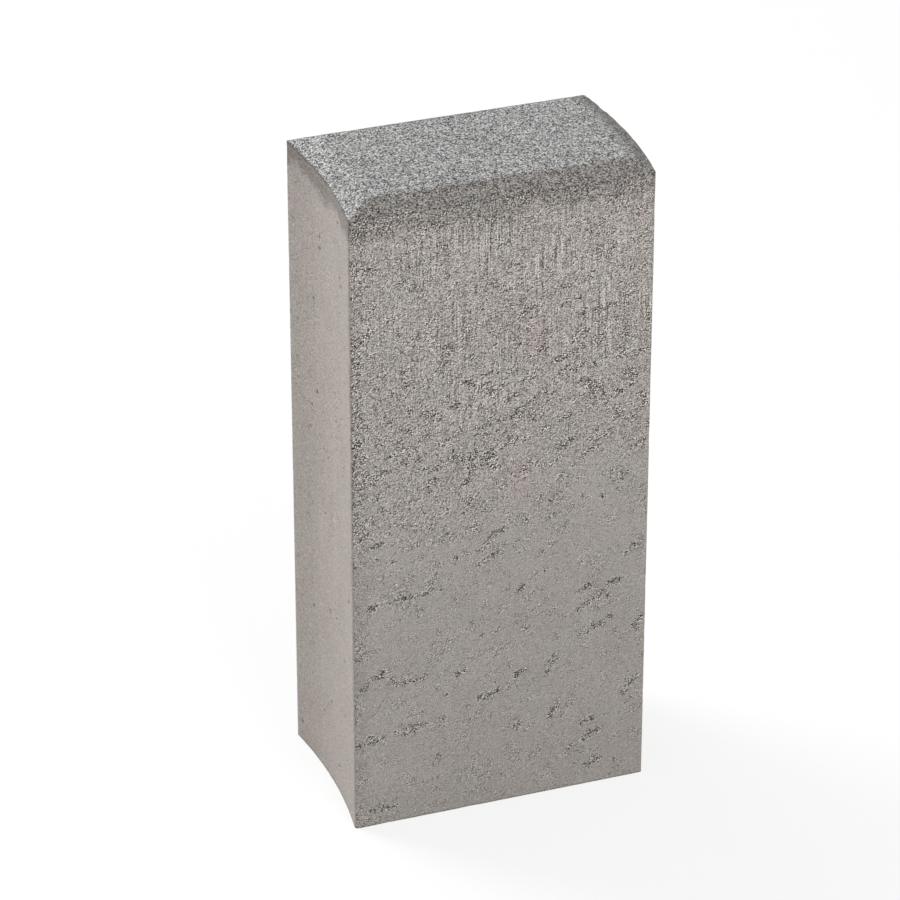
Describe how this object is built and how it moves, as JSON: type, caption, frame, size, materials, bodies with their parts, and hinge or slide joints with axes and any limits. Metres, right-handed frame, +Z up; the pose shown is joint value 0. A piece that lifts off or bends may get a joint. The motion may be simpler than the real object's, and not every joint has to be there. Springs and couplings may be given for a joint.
{
  "type": "concrete palisade post",
  "caption": "Rectangular concrete palisade post with a hollow flank, a matching bowed flank and a chamfered top, set side by side as garden edging.",
  "frame": {"origin": "middle of the post's footprint box, on the ground", "axes": "+Z up the post, +X from the hollow flank to the bowed flank, -Y out of the front face"},
  "size_m": [0.1841, 0.11, 0.4],
  "materials": {
    "concrete": "matt grey cast concrete, pitted and drag-streaked on the front and back, sandy on top"
  },
  "bodies": {
    "root": {"palisade_post": "concrete"}
  },
  "joints": []
}
